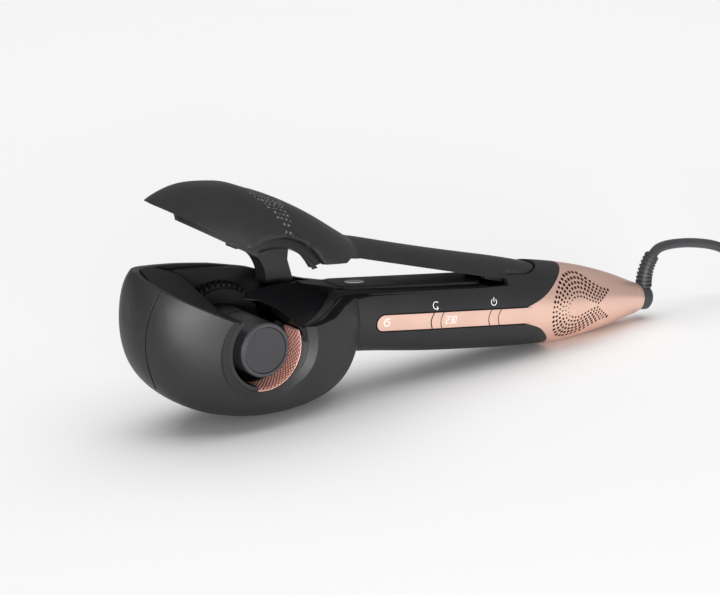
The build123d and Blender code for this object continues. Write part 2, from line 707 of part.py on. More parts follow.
rib_count = 9
with BuildPart() as cord_boot:
    with BuildSketch(Plane(origin=boot_path @ 0, z_dir=boot_path % 0)):
        Circle(3.5)
    sweep(path=boot_path)
    rib_length = boot_path.length / rib_count * 0.6
    for rib in range(rib_count):
        place = (rib + 0.1) / rib_count
        radius = 4.4 - 0.5 * place
        with BuildSketch(Plane(origin=boot_path @ place, z_dir=boot_path % place)):
            Circle(radius)
        extrude(amount=rib_length)
    add(swivel_collar.part, mode=Mode.SUBTRACT)
save(cord_boot.part, "cord_boot")

# ------------------------------------------------------------------ cord, coil and plug, in the resting frame
row_boot_tip = (to_row * Pos(*(boot_path @ 1))).position
tip_x = row_boot_tip.X
tip_z = row_boot_tip.Z
coil_centre = (tip_x + 123.3, -6.0)
coil_radius = 30.8
coil_half_width = 7.9
coil_height = 20.9
floor_z = cord_r
cord_route = [
    (tip_x + 0.8, rest_shift[1], tip_z + 0.55),
    (tip_x + 6.2, rest_shift[1] - 0.1, tip_z + 3.4),
    (tip_x + 15.0, -1.1, tip_z + 4.2),
    (tip_x + 28.0, -2.0, tip_z + 2.2),
    (tip_x + 42.0, -4.2, tip_z - 3.0),
    (tip_x + 54.0, -8.5, tip_z - 10.0),
    (tip_x + 65.0, -15.0, tip_z - 17.6),
    (tip_x + 76.0, -23.5, floor_z + 2.6),
    (tip_x + 88.0, -31.0, floor_z + 0.3),
    (tip_x + 101.0, -36.5, floor_z),
    (coil_centre[0] - 6.0, coil_centre[1] - coil_radius - 3.6, floor_z),
]


def cord_tube(route, title):
    """A round cord along straight runs joined by arcs, each as large as its runs allow."""
    points = [Vector(*point) for point in route]
    radii = []
    for before, corner, after in zip(points, points[1:], points[2:]):
        turn = math.radians((corner - before).get_angle(after - corner))
        run = min((corner - before).length, (after - corner).length)
        radii.append(0.45 * run / math.tan(turn / 2))
    line = FilletPolyline(*points, radius=radii, mode=Mode.PRIVATE)
    with BuildPart() as tube:
        with BuildSketch(Plane(origin=line @ 0, z_dir=line % 0)):
            Circle(cord_r)
        sweep(path=line)
    expected = math.pi * cord_r ** 2 * line.length
    print(title, "radii", [round(r, 1) for r in radii], "length", round(line.length, 1),
          "volume ratio", round(tube.part.volume / expected, 4))
    return tube.part


def keep(solid, node):
    """Write a piece that is already drawn in the resting frame."""
    solid.label = node
    export_step(solid, f"parts/{node}.step")


cord_lead = cord_tube(cord_route, "cord_lead")
keep(cord_lead, "cord_lead")
plug_x = coil_centre[0] + 53.2
plug_back = coil_centre[1] + 2.0
plug_z = 6.6
tail_route = [
    (coil_centre[0] + 4.0, coil_centre[1] - coil_radius - 5.2, coil_height - cord_r),
    (coil_centre[0] + 18.0, coil_centre[1] - coil_radius - 5.5, coil_height - cord_r - 0.6),
    (coil_centre[0] + 32.0, coil_centre[1] - coil_radius - 3.7, 15.0),
    (coil_centre[0] + 44.0, coil_centre[1] - 28.0, 11.5),
    (coil_centre[0] + 51.0, coil_centre[1] - 18.5, 8.2),
    (plug_x, plug_back - 10.0, plug_z),
]
cord_tail = cord_tube(tail_route, "cord_tail")
keep(cord_tail, "cord_tail")

with BuildPart() as cord_coil:
    with BuildSketch(Plane.XZ.offset(-coil_centre[1])):
        with Locations((coil_centre[0] + coil_radius, coil_height / 2)):
            RectangleRounded(2 * coil_half_width, coil_height, 5)
    revolve(axis=Axis((coil_centre[0], coil_centre[1], 0), (0, 0, 1)))
    add(cord_lead, mode=Mode.SUBTRACT)
    add(cord_tail, mode=Mode.SUBTRACT)
keep(cord_coil.part, "cord_coil")

with BuildPart() as cord_tie:
    with BuildSketch(Plane.XZ.offset(-coil_centre[1] - 3)):
        with Locations((coil_centre[0] + coil_radius, coil_height / 2)):
            RectangleRounded(2 * coil_half_width + 3.0, coil_height - 0.02, 5)
            RectangleRounded(2 * coil_half_width + 1.4, coil_height - 0.06, 5, mode=Mode.SUBTRACT)
    extrude(amount=6)
    add(cord_coil.part, mode=Mode.SUBTRACT)
keep(cord_tie.part, "cord_tie")

plug_length = 34.0
relief_length = 14.0
with BuildPart() as plug_body:
    with BuildSketch(Plane.XZ.offset(-plug_back - plug_length)):
        with Locations((plug_x, 6.9)):
            RectangleRounded(26, 13.7, 6.4)
    with BuildSketch(Plane.XZ.offset(-plug_back)):
        with Locations((plug_x, 6.7)):
            RectangleRounded(17, 11, 5)
    loft()
    with BuildSketch(Plane(origin=(plug_x, plug_back, plug_z), z_dir=(0, -1, 0))):
        Circle(3.9)
    extrude(amount=relief_length, taper=3)
    add(cord_tail, mode=Mode.SUBTRACT)
keep(plug_body.part, "plug_body")

with BuildPart() as plug_pins:
    for side in (-1, 1):
        with BuildSketch(Plane.XZ.offset(-plug_back - plug_length)):
            with Locations((plug_x + side * 9.3, 6.9)):
                Circle(2.0)
        extrude(amount=-19)
    fillet(plug_pins.edges().group_by(Axis.Y)[-1], 1.2)
keep(plug_pins.part, "plug_pins")
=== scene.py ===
import json
import math

import bmesh
import bpy
from mathutils import Matrix, Vector
from mathutils.bvhtree import BVHTree


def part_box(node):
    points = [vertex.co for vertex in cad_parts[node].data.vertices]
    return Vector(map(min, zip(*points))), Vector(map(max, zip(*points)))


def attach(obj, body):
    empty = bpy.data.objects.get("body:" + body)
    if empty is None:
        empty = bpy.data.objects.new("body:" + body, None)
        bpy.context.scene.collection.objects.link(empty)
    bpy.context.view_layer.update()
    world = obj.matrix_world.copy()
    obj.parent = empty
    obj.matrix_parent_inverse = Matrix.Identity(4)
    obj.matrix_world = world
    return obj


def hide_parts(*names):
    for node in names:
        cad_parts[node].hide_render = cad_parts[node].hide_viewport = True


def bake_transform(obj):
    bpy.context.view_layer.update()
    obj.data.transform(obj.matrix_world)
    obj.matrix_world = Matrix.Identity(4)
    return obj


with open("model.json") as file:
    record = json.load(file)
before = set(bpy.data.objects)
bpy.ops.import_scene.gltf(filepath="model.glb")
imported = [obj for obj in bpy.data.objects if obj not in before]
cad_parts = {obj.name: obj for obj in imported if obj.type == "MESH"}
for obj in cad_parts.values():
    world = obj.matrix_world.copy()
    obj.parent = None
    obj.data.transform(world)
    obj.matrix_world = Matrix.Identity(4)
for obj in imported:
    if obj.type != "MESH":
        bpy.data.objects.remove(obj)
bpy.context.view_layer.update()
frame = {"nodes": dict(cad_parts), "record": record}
nodes = frame["nodes"]
scene = bpy.context.scene

# ---------------------------------------------------------------- the design frame
# The CAD draws the curler with its origin on the barrel axis, then lays it on its belly.
TILT = math.radians(8.2)
SHIFT = Vector((-0.10096, -0.0007, 0.0389))
OPEN = math.radians(8.5)
HINGE = (163.0, 22.0)


def place(x, y, z, hood=False):
    """A design point in millimetres as a point in the row frame in metres."""
    if hood:
        dx, dz = x - HINGE[0], z - HINGE[1]
        x = HINGE[0] + dx * math.cos(OPEN) + dz * math.sin(OPEN)
        z = HINGE[1] - dx * math.sin(OPEN) + dz * math.cos(OPEN)
    c, s = math.cos(TILT), math.sin(TILT)
    return Vector(((x * c + z * s) / 1000, y / 1000, (-x * s + z * c) / 1000)) + SHIFT


def turn(x, y, z, hood=False):
    """A design direction in the row frame."""
    return place(x, y, z, hood) - place(0, 0, 0, hood)


# ---------------------------------------------------------------- node material helpers
def new_material(name):
    made = bpy.data.materials.new(name)
    made.use_nodes = True
    tree = made.node_tree
    tree.nodes.clear()
    out = tree.nodes.new("ShaderNodeOutputMaterial")
    shader = tree.nodes.new("ShaderNodeBsdfPrincipled")
    tree.links.new(shader.outputs[0], out.inputs[0])
    where = tree.nodes.new("ShaderNodeTexCoord")
    return made, tree, shader, where.outputs["Object"]


def noise(tree, where, scale, detail=3.0, rough=0.5):
    made = tree.nodes.new("ShaderNodeTexNoise")
    made.inputs["Scale"].default_value = scale
    made.inputs["Detail"].default_value = detail
    made.inputs["Roughness"].default_value = rough
    tree.links.new(where, made.inputs["Vector"])
    return made.outputs[0]


def spread(tree, value, low, high):
    """A 0.3 to 0.7 noise value mapped onto a range."""
    made = tree.nodes.new("ShaderNodeMapRange")
    made.inputs["From Min"].default_value = 0.3
    made.inputs["From Max"].default_value = 0.7
    made.inputs["To Min"].default_value = low
    made.inputs["To Max"].default_value = high
    tree.links.new(value, made.inputs["Value"])
    return made.outputs[0]


def mix_colour(tree, factor, first, second):
    made = tree.nodes.new("ShaderNodeMix")
    made.data_type = "RGBA"
    made.inputs[6].default_value = (*first, 1)
    made.inputs[7].default_value = (*second, 1)
    tree.links.new(factor, made.inputs[0])
    return made.outputs[2]


def bump(tree, height, distance, radius):
    """Fine relief, on edges that are softened where the radius isn't 0."""
    made = tree.nodes.new("ShaderNodeBump")
    made.inputs["Distance"].default_value = distance
    made.inputs["Strength"].default_value = 1.0
    tree.links.new(height, made.inputs["Height"])
    if radius:
        soft = tree.nodes.new("ShaderNodeBevel")
        soft.samples = 4
        soft.inputs["Radius"].default_value = radius
        tree.links.new(soft.outputs[0], made.inputs["Normal"])
    return made.outputs[0]


DRIFT_SCALE = 45.0
BRUSH_DRIFT_SCALE = 60.0
BRUSH_DEPTH = 0.000012
BRUSH_EDGE = 0.00025


def moulded(name, colour, light, rough, grain=2600.0, depth=0.00002, radius=0.0003, metal=0.0, specular=0.5):
    """Moulded or coated surface: fine grain, slow colour drift and uneven gloss."""
    made, tree, shader, where = new_material(name)
    drift = noise(tree, where, DRIFT_SCALE, 4.0, 0.6)
    fine = noise(tree, where, grain, 2.0)
    colours = mix_colour(tree, spread(tree, drift, 0.0, 1.0), colour, light)
    tree.links.new(colours, shader.inputs["Base Color"])
    tree.links.new(spread(tree, drift, *rough), shader.inputs["Roughness"])
    tree.links.new(bump(tree, fine, depth, radius), shader.inputs["Normal"])
    shader.inputs["Metallic"].default_value = metal
    shader.inputs["Specular IOR Level"].default_value = specular
    return made


def brushed(name, colour, light, rough, stretch, metal=1.0, coat=0.0):
    """Metal or metallic lacquer with fine lines along one direction."""
    made, tree, shader, where = new_material(name)
    squeeze = tree.nodes.new("ShaderNodeMapping")
    squeeze.inputs["Scale"].default_value = stretch
    tree.links.new(where, squeeze.inputs["Vector"])
    streaks = noise(tree, squeeze.outputs[0], 1.0, 3.0)
    drift = noise(tree, where, BRUSH_DRIFT_SCALE, 3.0)
    colours = mix_colour(tree, spread(tree, drift, 0.0, 1.0), colour, light)
    tree.links.new(colours, shader.inputs["Base Color"])
    tree.links.new(spread(tree, streaks, *rough), shader.inputs["Roughness"])
    tree.links.new(bump(tree, streaks, BRUSH_DEPTH, BRUSH_EDGE), shader.inputs["Normal"])
    shader.inputs["Metallic"].default_value = metal
    shader.inputs["Coat Weight"].default_value = coat
    shader.inputs["Coat Roughness"].default_value = 0.2
    return made


def glow(name, colour, strength):
    made, tree, shader, where = new_material(name)
    cloud = noise(tree, where, 900.0)
    tree.links.new(mix_colour(tree, cloud, colour, [min(1.0, v * 1.1) for v in colour]),
                   shader.inputs["Base Color"])
    shader.inputs["Emission Color"].default_value = (*colour, 1)
    shader.inputs["Emission Strength"].default_value = strength
    shader.inputs["Roughness"].default_value = 0.5
    return made


soft_touch = moulded("soft_touch", (0.015, 0.015, 0.0165), (0.020, 0.020, 0.0215), (0.42, 0.48),
                     3000.0, 0.000016, 0.0004, specular=0.36)
gloss_black = moulded("gloss_black", (0.006, 0.006, 0.007), (0.009, 0.009, 0.010), (0.2, 0.27),
                      1400.0, 0.000004, 0.0003, specular=0.3)
ramp_black = moulded("ramp_black", (0.012, 0.012, 0.013), (0.016, 0.016, 0.017), (0.5, 0.58),
                     2200.0, 0.00002, 0.0003, specular=0.12)
inner_black = moulded("inner_black", (0.010, 0.010, 0.011), (0.016, 0.016, 0.017), (0.42, 0.55),
                      1800.0, 0.00003, 0.0003)
barrel_black = moulded("barrel_enamel", (0.055, 0.055, 0.060), (0.075, 0.075, 0.08), (0.28, 0.36),
                       2400.0, 0.00001, 0.0003, metal=0.35)
disc_black = moulded("end_disc_matte", (0.026, 0.026, 0.029), (0.032, 0.032, 0.035), (0.5, 0.6),
                     2600.0, 0.00002, 0.0002)
rose_gold = brushed("rose_gold_lacquer", (0.80, 0.52, 0.425), (0.84, 0.57, 0.47), (0.3, 0.38),
                    (60.0, 2600.0, 2600.0), metal=0.7, coat=0.1)
rose_liner = brushed("rose_liner", (0.88, 0.46, 0.38), (0.95, 0.56, 0.47), (0.3, 0.42),
                     (900.0, 900.0, 900.0), metal=0.45)
# painted shade: a darker rose for the knurl's valleys, standing in for the shade that falls in them
rose_valley_shade = brushed("rose_valley_shade", (0.30, 0.10, 0.08), (0.38, 0.14, 0.11), (0.35, 0.5),
                      (900.0, 900.0, 900.0), metal=0.4)
vent_grey = moulded("vent_grey", (0.15, 0.15, 0.155), (0.2, 0.2, 0.205), (0.35, 0.5), 1500.0, 0.00002, 0.0)
rotor_plastic = moulded("rotor_plastic", (0.008, 0.008, 0.009), (0.012, 0.012, 0.013), (0.4, 0.5),
                        specular=0.2)
steel = brushed("steel", (0.55, 0.55, 0.57), (0.62, 0.62, 0.64), (0.25, 0.4), (3000.0, 200.0, 3000.0))
heater_metal = brushed("heater_metal", (0.6, 0.6, 0.6), (0.7, 0.7, 0.7), (0.35, 0.5),
                       (2000.0, 150.0, 2000.0))
board = moulded("board_green", (0.02, 0.12, 0.05), (0.03, 0.17, 0.07), (0.25, 0.4), 900.0, 0.00003)
switch_black = moulded("switch_black", (0.02, 0.02, 0.02), (0.03, 0.03, 0.03), (0.4, 0.5))
pad_grey = moulded("pad_grey", (0.62, 0.62, 0.63), (0.7, 0.7, 0.71), (0.3, 0.4))
brass = brushed("contact_brass", (0.7, 0.52, 0.22), (0.78, 0.6, 0.3), (0.2, 0.35), (200.0, 3000.0, 3000.0))
boot_rubber = moulded("boot_rubber", (0.030, 0.030, 0.032), (0.042, 0.042, 0.045), (0.42, 0.52),
                      2200.0, 0.00003, 0.0002)
cord_rubber = moulded("cord_rubber", (0.036, 0.036, 0.039), (0.048, 0.048, 0.051), (0.3, 0.4),
                      2600.0, 0.00002, 0.0001)
plug_black = moulded("plug_black", (0.03, 0.03, 0.032), (0.04, 0.04, 0.042), (0.35, 0.45),
                     1800.0, 0.00003, 0.0005)
plug_metal = brushed("plug_metal", (0.7, 0.7, 0.72), (0.78, 0.78, 0.8), (0.15, 0.28),
                     (2600.0, 200.0, 2600.0))
icon_white = glow("icon_white", (0.88, 0.84, 0.84), 0.2)
line_black = moulded("line_black", (0.004, 0.004, 0.004), (0.006, 0.006, 0.006), (0.5, 0.6), specular=0.08)
# painted shade: a dark red-brown for the walls of the cap's holes, standing in for the shade inside them
hole_wall_shade = moulded("hole_wall_shade", (0.05, 0.015, 0.012), (0.07, 0.022, 0.018), (0.5, 0.7))

slot_material = {
    "soft_touch_black": soft_touch,
    "gloss_black": gloss_black,
    "inner_black": inner_black,
    "barrel_black": barrel_black,
    "rose_gold": rose_gold,
    "rose_liner": rose_liner,
    "rotor_plastic": rotor_plastic,
    "steel": steel,
    "heater_metal": heater_metal,
    "board": board,
    "switch_black": switch_black,
    "pad_grey": pad_grey,
    "contact_brass": brass,
    "boot_rubber": boot_rubber,
    "cord_rubber": cord_rubber,
    "plug_black": plug_black,
    "plug_metal": plug_metal,
}


SPLIT_AT = (-0.0283, -0.0053)  # a point (x, y) on the line between the deck's two tones
SPLIT_SLOPE = 0.103
SPLIT_EDGE = 0.0002


def two_tone_deck():
    """The raised deck: charcoal on the near shoulder, black beyond a line along it."""
    made, tree, shader, where = new_material("deck_two_tone")
    apart = tree.nodes.new("ShaderNodeSeparateXYZ")
    tree.links.new(where, apart.inputs[0])
    slope = tree.nodes.new("ShaderNodeMath")
    slope.operation = "MULTIPLY_ADD"
    slope.inputs[1].default_value = SPLIT_SLOPE
    slope.inputs[2].default_value = -SPLIT_AT[1] - SPLIT_SLOPE * SPLIT_AT[0]
    tree.links.new(apart.outputs["X"], slope.inputs[0])
    offset = tree.nodes.new("ShaderNodeMath")
    offset.operation = "ADD"
    tree.links.new(slope.outputs[0], offset.inputs[0])
    tree.links.new(apart.outputs["Y"], offset.inputs[1])
    ramp = tree.nodes.new("ShaderNodeMapRange")
    ramp.inputs["From Min"].default_value = -SPLIT_EDGE
    ramp.inputs["From Max"].default_value = SPLIT_EDGE
    tree.links.new(offset.outputs[0], ramp.inputs["Value"])
    tree.links.new(mix_colour(tree, ramp.outputs[0], (0.022, 0.022, 0.024), (0.009, 0.009, 0.010)),
                   shader.inputs["Base Color"])
    grain = noise(tree, where, 2600.0, 2.0)
    drift = noise(tree, where, DRIFT_SCALE, 4.0)
    tree.links.new(spread(tree, drift, 0.44, 0.52), shader.inputs["Roughness"])
    tree.links.new(bump(tree, grain, 0.00002, 0.0003), shader.inputs["Normal"])
    shader.inputs["Specular IOR Level"].default_value = 0.25
    return made


deck_two_tone = two_tone_deck()
own_material = {"barrel_end_disc": disc_black, "ramp_guide": ramp_black, "inner_deck": deck_two_tone,
                "guide_saddle": soft_touch, "hood_insert": soft_touch}
for part in frame["record"]["subparts"]:
    node = nodes[part["node"]]
    node.data.materials.clear()
    node.data.materials.append(own_material.get(part["node"], slot_material[part["material_slot"]]))


# ---------------------------------------------------------------- mesh helpers
def mesh_object(name, verts, faces, material, smooth=True):
    data = bpy.data.meshes.new(name)
    data.from_pydata([tuple(v) for v in verts], [], faces)
    data.validate()
    made = bpy.data.objects.new(name, data)
    scene.collection.objects.link(made)
    data.materials.append(material)
    for face in data.polygons:
        face.use_smooth = smooth
    return made


def two_materials(piece, first, second, is_second):
    """Gives a piece two materials, the second one on the faces that a test picks."""
    piece.data.materials.clear()
    piece.data.materials.append(first)
    piece.data.materials.append(second)
    for face in piece.data.polygons:
        face.material_index = 1 if is_second(face) else 0


def face_outward(piece):
    """Turns the faces of a closed mesh to look out."""
    shape = bmesh.new()
    shape.from_mesh(piece.data)
    bmesh.ops.recalc_face_normals(shape, faces=shape.faces)
    shape.to_mesh(piece.data)
    shape.free()


def surface_of(*names):
    """A ray-castable surface of CAD nodes."""
    verts, faces = [], []
    for name in names:
        data = nodes[name].data
        base = len(verts)
        verts += [v.co.copy() for v in data.vertices]
        faces += [tuple(base + i for i in p.vertices) for p in data.polygons]
    return BVHTree.FromPolygons(verts, faces)


SIDE_CLEAR, TOP_CLEAR = 60, 80  # how far out a ray starts, in millimetres


def cast(tree, start, aim):
    """Where a ray meets a surface, with the normal that looks back along the ray."""
    point, normal, _, _ = tree.ray_cast(start, aim)
    if point is None:
        return None
    return point, -normal if normal.dot(aim) > 0 else normal


def side_hit(tree, x, z):
    """Where the near side's surface lies at a design (x, z), with its outward normal."""
    return cast(tree, place(x, -SIDE_CLEAR, z), Vector((0, 1, 0)))


# ---------------------------------------------------------------- the cord
CORD_D = 0.0052
cord_route = [
    (0.1536, -0.0007, 0.0309),
    (0.1564, -0.0007, 0.0343),
    (0.1606, -0.0008, 0.0364),
    (0.1700, -0.0010, 0.0366),
    (0.1832, -0.0016, 0.0349),
    (0.1985, -0.0036, 0.0309),
    (0.2092, -0.0085, 0.0229),
    (0.2202, -0.0150, 0.0153),
    (0.2312, -0.0235, 0.0052),
    (0.2390, -0.0281, 0.0029),
    (0.2520, -0.0345, 0.0026),
]
coil_low, coil_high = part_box("cord_coil")
coil_x = (coil_low.x + coil_high.x) / 2
coil_y = (coil_low.y + coil_high.y) / 2
BINDING_GAP = 0.0001
OUTER_R = (coil_high.y - coil_low.y) / 2 - CORD_D / 2 - BINDING_GAP
STEP_ANGLE = 15
START_ANGLE = -112
END_ANGLE = 3862
# each turn's place in cord diameters: outwards from the outermost turn, and upwards from the lowest
COLUMNS = [0, -1, -2, -2, -1, 0, 0, -1, -2, -2, -1, 0]
ROWS = [0, 0, 0, 1, 1, 1, 2, 2, 2, 3, 3, 3]
CHANGE_AT, CHANGE_SPAN = 185, 60  # degrees round each turn


def eased(angle, start, span):
    t = min(1.0, max(0.0, (angle - start) / span))
    return t * t * (3 - 2 * t)


def coil_points():
    """The coil's turns. Its points stand a little outside them, as the spline cuts inside its points."""
    made = []
    for angle in range(START_ANGLE, END_ANGLE + 1, STEP_ANGLE):
        column, row = float(COLUMNS[0]), float(ROWS[0])
        for k in range(len(COLUMNS) - 1):
            change = CHANGE_AT + 360 * k
            column += (COLUMNS[k + 1] - COLUMNS[k]) * eased(angle, change, CHANGE_SPAN)
            row += (ROWS[k + 1] - ROWS[k]) * eased(angle, change + CHANGE_SPAN, CHANGE_SPAN)
        radius = (OUTER_R + column * CORD_D) / math.cos(math.radians(STEP_ANGLE / 2))
        made.append((coil_x + radius * math.cos(math.radians(angle)),
                     coil_y + radius * math.sin(math.radians(angle)),
                     CORD_D / 2 + row * CORD_D))
    return made


plug_low, plug_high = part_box("plug_body")
plug_x = (plug_low.x + plug_high.x) / 2
points = cord_route + coil_points() + [
    (coil_x + 0.0190, coil_y - 0.0366, 0.0176),
    (coil_x + 0.0320, coil_y - 0.0345, 0.0150),
    (coil_x + 0.0440, coil_y - 0.0280, 0.0115),
    (coil_x + 0.0510, coil_y - 0.0185, 0.0082),
    (plug_x, plug_low.y + 0.0040, 0.0066),
    (plug_x, plug_low.y + 0.0120, 0.0066),
]
curve = bpy.data.curves.new("mains_cord", "CURVE")
curve.dimensions = "3D"
curve.bevel_resolution = 4
curve.resolution_u = 6
spline = curve.splines.new("NURBS")
spline.points.add(len(points) - 1)
for control, point in zip(spline.points, points):
    control.co = (*point, 1)
spline.order_u = 3
spline.use_endpoint_u = True
curve.materials.append(cord_rubber)


def curve_mesh(bevel):
    """The route's own line, or the tube round it, as a mesh."""
    curve.bevel_depth = bevel
    line = bpy.data.objects.new("route", curve)
    scene.collection.objects.link(line)
    bpy.context.view_layer.update()
    made = bpy.data.meshes.new_from_object(line.evaluated_get(bpy.context.evaluated_depsgraph_get()))
    bpy.data.objects.remove(line)
    return made


cord_path = [tuple(vertex.co) for vertex in curve_mesh(0.0).vertices]
cord_mesh = curve_mesh(CORD_D / 2)
for face in cord_mesh.polygons:
    face.use_smooth = True
mains_cord = bpy.data.objects.new("mains_cord", cord_mesh)
scene.collection.objects.link(mains_cord)
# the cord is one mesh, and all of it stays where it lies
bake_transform(mains_cord)
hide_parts("cord_lead", "cord_tail", "cord_coil")


# ---------------------------------------------------------------- pierced shells
def welded_copy(node, name):
    """A closed copy of a CAD node's mesh, with its split corners joined."""
    data = nodes[node].data.copy()
    data.name = name
    shape = bmesh.new()
    shape.from_mesh(data)
    bmesh.ops.remove_doubles(shape, verts=shape.verts, dist=1e-6)
    shape.to_mesh(data)
    shape.free()
    made = bpy.data.objects.new(name, data)
    scene.collection.objects.link(made)
    return made


PROUD = 0.0008  # how far a drill stands out of the surface


def drill(piece, holes, sides):
    """Cuts round holes given as (outer point, outward normal, radius, depth)."""
    shape = bmesh.new()
    for point, normal, radius, depth in holes:
        aim = normal.to_track_quat("Z", "Y").to_matrix().to_4x4()
        aim.translation = point + normal * (PROUD - depth) / 2
        bmesh.ops.create_cone(shape, cap_ends=True, segments=sides, radius1=radius, radius2=radius,
                              depth=depth + PROUD, matrix=aim)
    data = bpy.data.meshes.new("drills")
    shape.to_mesh(data)
    shape.free()
    drills = bpy.data.objects.new("drills", data)
    scene.collection.objects.link(drills)
    cut = piece.modifiers.new("cut", "BOOLEAN")
    cut.operation = "DIFFERENCE"
    cut.solver = "MANIFOLD"
    cut.object = drills
    bpy.context.view_layer.update()
    evaluated = piece.evaluated_get(bpy.context.evaluated_depsgraph_get())
    result = bpy.data.meshes.new_from_object(evaluated)
    piece.modifiers.clear()
    piece.data = result
    bpy.data.objects.remove(drills)
    for face in result.polygons:
        face.use_smooth = True
    result.set_sharp_from_angle(angle=math.radians(32))


# the swirl of holes on the rear cap runs in rows between these two, as design (x, z) points
OUTER_ROW = [(214.6, 16.4), (209.6, 17.6), (204.8, 19.9), (200.3, 22.8), (196.3, 25.3), (191.4, 26.1),
             (185.1, 24.9), (180.5, 21.9), (177.2, 17.6), (175.4, 12.5), (175.0, 7.5), (176.2, 2.5),
             (178.6, -2.0), (182.4, -5.4), (187.1, -6.4), (193.1, -5.7), (199.5, -3.4), (204.0, -0.5),
             (209.5, 1.6), (215.1, 2.4)]
INNER_ROW = [(206.5, 10.6), (203.5, 11.6), (201.0, 12.3), (198.5, 13.3), (196.1, 14.2), (192.6, 15.1),
             (189.6, 14.9), (187.4, 13.7), (185.8, 12.1), (185.0, 10.2), (185.0, 8.2), (185.5, 6.5),
             (186.4, 5.4), (187.6, 4.8), (189.2, 4.4), (192.4, 4.1), (196.2, 5.7), (200.1, 7.1),
             (203.0, 8.0), (206.0, 8.4)]
ROW_COUNTS = [40, 38, 35, 32, 28, 23]
HOLE_R, HOLE_SHRINK = 1.08, 0.46
HOLE_DEPTH = 0.0036
# near DWINDLE_Z, and only at an x under DWINDLE_X, holes are smaller by up to the share DWINDLE
DWINDLE, DWINDLE_Z, DWINDLE_SPREAD, DWINDLE_X = 0.45, 9.0, 5.0, 188
LAND_SHARE = 0.39  # a hole's radius is at most this share of the way to its nearest neighbour


def along(line, count):
    """Evenly spaced places along an open line of (x, z) points."""
    lengths = [0.0]
    for a, b in zip(line, line[1:]):
        lengths.append(lengths[-1] + math.dist(a, b))
    places, k = [], 0
    for step in range(count):
        want = lengths[-1] * step / (count - 1)
        while k < len(line) - 2 and lengths[k + 1] < want:
            k += 1
        t = (want - lengths[k]) / (lengths[k + 1] - lengths[k])
        places.append(tuple(a + (b - a) * t for a, b in zip(line[k], line[k + 1])))
    return places


def cap_holes():
    """The swirl of holes, on both sides of the cap."""
    surface = surface_of("rear_cap")
    holes = []
    for row, count in enumerate(ROW_COUNTS):
        share = row / (len(ROW_COUNTS) - 1)
        line = [tuple(a + (b - a) * share for a, b in zip(p, q)) for p, q in zip(OUTER_ROW, INNER_ROW)]
        for x, z in along(line, count):
            less = DWINDLE * math.exp(-((z - DWINDLE_Z) / DWINDLE_SPREAD) ** 2) if x < DWINDLE_X else 0.0
            radius = (HOLE_R - HOLE_SHRINK * share) * (1.0 - less) / 1000
            for side in (-1, 1):
                hit = cast(surface, place(x, side * SIDE_CLEAR, z), Vector((0, -side, 0)))
                if hit:
                    holes.append((*hit, radius, HOLE_DEPTH))
    return holes


def with_land(holes):
    """The same holes, small enough to leave wall between each one and its nearest neighbour."""
    made = []
    for point, normal, radius, depth in holes:
        nearest = min((point - other[0]).length for other in holes if other[0] is not point)
        made.append((point, normal, min(radius, LAND_SHARE * nearest), depth))
    return made


WALL_LEAN = 0.25  # a face whose normal has a smaller outward share than this belongs to a hole, and gets painted shade
cap_middle = place(0, 0, 8)
cap_axis = turn(1, 0, 0).normalized()


def is_shaded_hole_wall(face):
    """A face of the cap that doesn't look away from its long axis: a hole wall, which gets painted shade."""
    outward = face.center - cap_middle
    outward -= cap_axis * outward.dot(cap_axis)
    return face.normal.dot(outward.normalized()) < WALL_LEAN


pierced_cap = welded_copy("rear_cap", "rear_cap_pierced")
drill(pierced_cap, with_land(cap_holes()), 14)
# the walls of the holes get painted shade
two_materials(pierced_cap, rose_gold, hole_wall_shade, is_shaded_hole_wall)
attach(pierced_cap, "base")
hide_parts("rear_cap")

VENT_ROWS = 13
VENT_PITCH = 2.35
VENT_FIRST, VENT_STEP = 6.0, 1.93  # the first row's distance from the middle, and from row to row
VENT_R, VENT_R_STEP = 0.92, 0.02
VENT_DEPTH = 0.0006
UNCUT = 0.0002  # a face further than this from the uncut hood belongs to a vent
# the patch's two ends in x: past LEFT_FROM the left one slants back, and the right one slants out
# from RIGHT_FROM until it reaches VENT_RIGHT
VENT_LEFT, LEFT_FROM, LEFT_SLANT = -10.5, 15.0, 0.97
VENT_RIGHT, RIGHT_LEAST, RIGHT_FROM, RIGHT_SLANT = 5.4, -6.0, 5.0, 1.4
hood_surface = surface_of("hood_shell")


def hood_vents():
    """Shallow vents in staggered rows, on both sides of the hood."""
    down = -turn(0, 0, 1, hood=True).normalized()
    holes = []
    for row in range(VENT_ROWS):
        across = VENT_FIRST + row * VENT_STEP
        left = VENT_LEFT + max(0.0, across - LEFT_FROM) * LEFT_SLANT + 0.5 * VENT_PITCH * (row % 2)
        right = min(VENT_RIGHT, RIGHT_LEAST + (across - RIGHT_FROM) * RIGHT_SLANT)
        radius = (VENT_R - VENT_R_STEP * row) / 1000
        for k in range(max(1, round((right - left) / VENT_PITCH) + 1)):
            for side in (-1, 1):
                start = place(left + k * VENT_PITCH, side * across, TOP_CLEAR, hood=True)
                hit = cast(hood_surface, start, down)
                if hit:
                    holes.append((*hit, radius, VENT_DEPTH))
    return holes


def is_vent(face):
    """A face of the hood that lies below its uncut surface."""
    return hood_surface.find_nearest(face.center)[3] > UNCUT


vented_hood = welded_copy("hood_shell", "hood_shell_vented")
drill(vented_hood, hood_vents(), 8)
two_materials(vented_hood, soft_touch, vent_grey, is_vent)
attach(vented_hood, "hood")
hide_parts("hood_shell")


# ---------------------------------------------------------------- knurled liner
LINER_START, LINER_SWEEP = -97.0, 124.0
LINER_FRONT, LINER_BACK = -29.3, -17.6
LINER_AROUND, LINER_DEEP = 320, 90
LINER_MOUTH_R, LINER_TAPER = 19.35, 1.15
LINER_SEAT_R = 19.68
KNURL = 2.1
KNURL_R = 18.6
KNURL_HEIGHT = 0.55
SHADE_BELOW = 0.28  # the share of a knurl's height below which its faces get painted shade


def ripple(value):
    return abs(2 * (value - math.floor(value + 0.5)))


